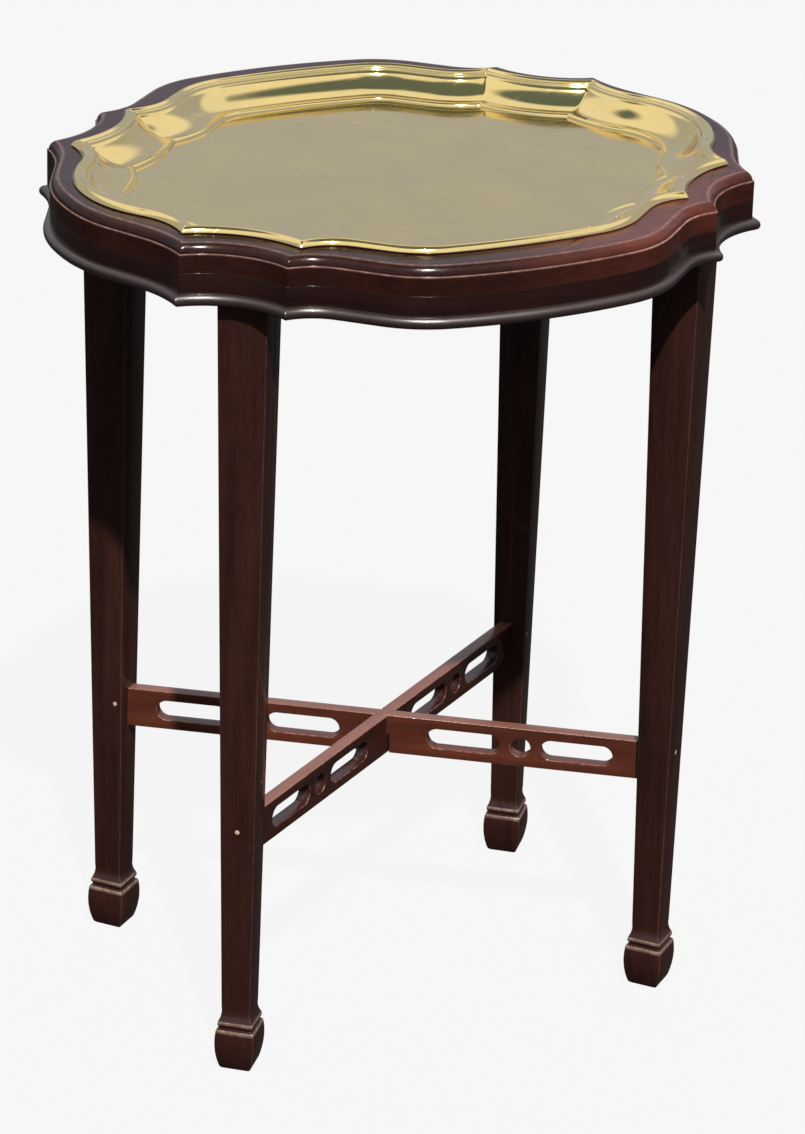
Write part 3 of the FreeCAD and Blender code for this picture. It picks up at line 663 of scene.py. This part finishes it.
def rail_piece(name, heading_deg, notch_low, material):
    """Flat pierced bar drawn side on, thickened with eased edges, then stood up along its heading."""
    mid, half, side = RAIL_Z + RAIL_H / 2, RAIL_H / 2, RAIL_T / 2
    curve = bpy.data.curves.new(name + "_curve", "CURVE")
    curve.dimensions = "2D"
    curve.fill_mode = "BOTH"
    curve.extrude = (side - RAIL_EASE) * MM
    curve.bevel_depth = RAIL_EASE * MM
    curve.bevel_resolution = 2
    curve.offset = -RAIL_EASE * MM
    low_notch = [(-side, -half), (-side, 0), (side, 0), (side, -half)] if notch_low else []
    top_notch = [] if notch_low else [(side, half), (side, 0), (-side, 0), (-side, half)]
    add_spline(curve, [(-RAIL_REACH, -half)] + low_notch + [(RAIL_REACH, -half), (RAIL_REACH, half)]
               + top_notch + [(-RAIL_REACH, half)])
    for s in (1, -1):
        for start, stop in SLOTS:
            ends = [Vector((stop - SLOT_R, 0)) + turned(SLOT_R, d) for d in range(0, 181, 9)]
            ends += [Vector((start + SLOT_R, 0)) + turned(SLOT_R, d) for d in range(180, 361, 9)]
            add_spline(curve, [(s * p.x, p.y) for p in ends])
        add_spline(curve, [Vector((s * EYE_AT, 0)) + turned(EYE_R, d) for d in range(0, 360, 9)])
    flat = bpy.data.objects.new(name + "_flat", curve)
    bpy.context.scene.collection.objects.link(flat)
    bpy.context.view_layer.update()
    mesh = bpy.data.meshes.new_from_object(flat)
    bpy.data.objects.remove(flat)
    bm = bmesh.new()
    bm.from_mesh(mesh)
    bmesh.ops.remove_doubles(bm, verts=bm.verts, dist=1e-6)
    drawn = [tuple(v.co / MM) for v in bm.verts]
    faces = [tuple(v.index for v in f.verts) for f in bm.faces]
    bm.free()
    turn = math.radians(heading_deg)
    across = Vector((-math.sin(turn), math.cos(turn), 0))
    ahead = Vector((math.cos(turn), math.sin(turn), 0))
    verts = [ahead * x + across * t + Vector((0, 0, mid + y)) for x, y, t in drawn]
    wear_and_sheen = [1.0 if side - RAIL_EASE + 0.05 < abs(t) < side - 0.05 else 0.0 for _, _, t in drawn]
    # Painted highlight on the top face of the bar.
    paler_and_sheen = [1.0 if y > half - 0.3 else 0.0 for _, y, _ in drawn]
    return make_piece(name, verts, faces, drawn, wear_and_sheen, material, paler_and_sheen=paler_and_sheen)


rail_deg = math.degrees(math.atan2(LEG_Y, LEG_X))
for node, deg, low, material in (("stretcher_front_left_to_back_right", rail_deg, False, SHADED_RAIL_WOOD),
                                 ("stretcher_back_left_to_front_right", -rail_deg, True, RAIL_WOOD)):
    rail = rail_piece("pierced_" + node, deg, low, material)
    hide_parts(node)
    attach(rail, "table")

for node, material in (("stretcher_brads", STEEL), ("putty_plugs", FILLER)):
    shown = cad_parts[node]
    shown.data.materials.clear()
    shown.data.materials.append(material)

# The plugs end flush with the legs, so they are lifted just clear of the visual legs' faces.
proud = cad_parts["putty_plugs"].modifiers.new("proud", "DISPLACE")
proud.strength = 0.15 * MM
proud.mid_level = 0.0


# ---------------------------------------------------------------- floor, light and camera

FLOOR_HALF = 14


def floor():
    """Pale ground that nearly matches the background, hidden from reflections and bounced light."""
    mesh = bpy.data.meshes.new("floor")
    s = FLOOR_HALF
    mesh.from_pydata([(-s, -s, 0), (s, -s, 0), (s, s, 0), (-s, s, 0)], [], [(0, 1, 2, 3)])
    material, _, shader = new_material("pale_floor")
    shader.inputs["Base Color"].default_value = (0.01, 0.01, 0.01, 1)
    shader.inputs["Roughness"].default_value = 0.9
    shader.inputs["Specular IOR Level"].default_value = 0.0
    shader.inputs["Emission Color"].default_value = (1, 1, 1, 1)
    shader.inputs["Emission Strength"].default_value = 0.90
    mesh.materials.append(material)
    piece = bpy.data.objects.new("floor", mesh)
    bpy.context.scene.collection.objects.link(piece)
    piece.visible_glossy = False
    piece.visible_diffuse = False


def soft_world():
    """Dark ground, a grey sky, a bright band above it and a dim zenith, which the brass reflects."""
    world = bpy.data.worlds.new("soft_room")
    bpy.context.scene.world = world
    world.use_nodes = True
    tree = world.node_tree
    g = Graph(tree)
    background = tree.nodes["Background"]
    place = g.node("ShaderNodeTexCoord").outputs["Generated"]
    split = g.node("ShaderNodeSeparateXYZ")
    g.link(place, split.inputs[0])
    ramp = g.node("ShaderNodeValToRGB")
    g.link(g.span(split.outputs["Z"], -1, 1), ramp.inputs[0])
    ground, horizon, sky = (0.05, 0.045, 0.04), (0.16, 0.15, 0.14), (0.48, 0.51, 0.60)
    bright, zenith = (1.0, 0.98, 0.90), (0.14, 0.18, 0.20)
    stops = [(0.0, ground), (0.38, ground), (0.47, horizon), (0.55, sky), (0.745, sky), (0.79, bright),
             (0.925, bright), (0.95, zenith), (1.0, zenith)]
    elements = ramp.color_ramp.elements
    while len(elements) < len(stops):
        elements.new(0.5)
    for element, (at, level) in zip(elements, stops):
        element.position = at
        element.color = (*level, 1)
    g.link(ramp.outputs[0], background.inputs["Color"])
    background.inputs["Strength"].default_value = 1.0


def sun(azimuth_deg, elevation_deg, strength, soft_deg):
    """Main light, from in front and above. Azimuth turns from -Y towards -X."""
    a, e = math.radians(azimuth_deg), math.radians(elevation_deg)
    toward = Vector((-math.sin(a) * math.cos(e), -math.cos(a) * math.cos(e), math.sin(e)))
    data = bpy.data.lights.new("main_light", "SUN")
    data.energy = strength
    data.angle = math.radians(soft_deg)
    data.color = (1.0, 0.97, 0.92)
    light = bpy.data.objects.new("main_light", data)
    light.rotation_euler = toward.to_track_quat("Z", "Y").to_euler()
    bpy.context.scene.collection.objects.link(light)


def photograph_camera():
    """Looks down on the table from its front left corner, with the photograph's slight tilt."""
    pitch, yaw, roll = math.radians(23.17), math.radians(25.8), math.radians(1.63)
    forward = Vector((math.sin(yaw) * math.cos(pitch), math.cos(yaw) * math.cos(pitch), -math.sin(pitch)))
    level = Vector((math.cos(yaw), -math.sin(yaw), 0))
    upright = level.cross(forward)
    right = level * math.cos(roll) + upright * math.sin(roll)
    up = upright * math.cos(roll) - level * math.sin(roll)
    data = bpy.data.cameras.new("camera")
    data.sensor_width = 36.0
    data.lens = 148.4
    data.clip_end = 100.0
    camera = bpy.data.objects.new("camera", data)
    turn = Matrix((right, up, -forward)).transposed().to_4x4()
    camera.matrix_world = Matrix.Translation((-1.303, -2.718, 1.593)) @ turn
    bpy.context.scene.collection.objects.link(camera)
    bpy.context.scene.camera = camera


floor()
soft_world()
sun(azimuth_deg=15, elevation_deg=52, strength=8.5, soft_deg=1.4)
photograph_camera()
bpy.context.scene.view_settings.view_transform = "Standard"
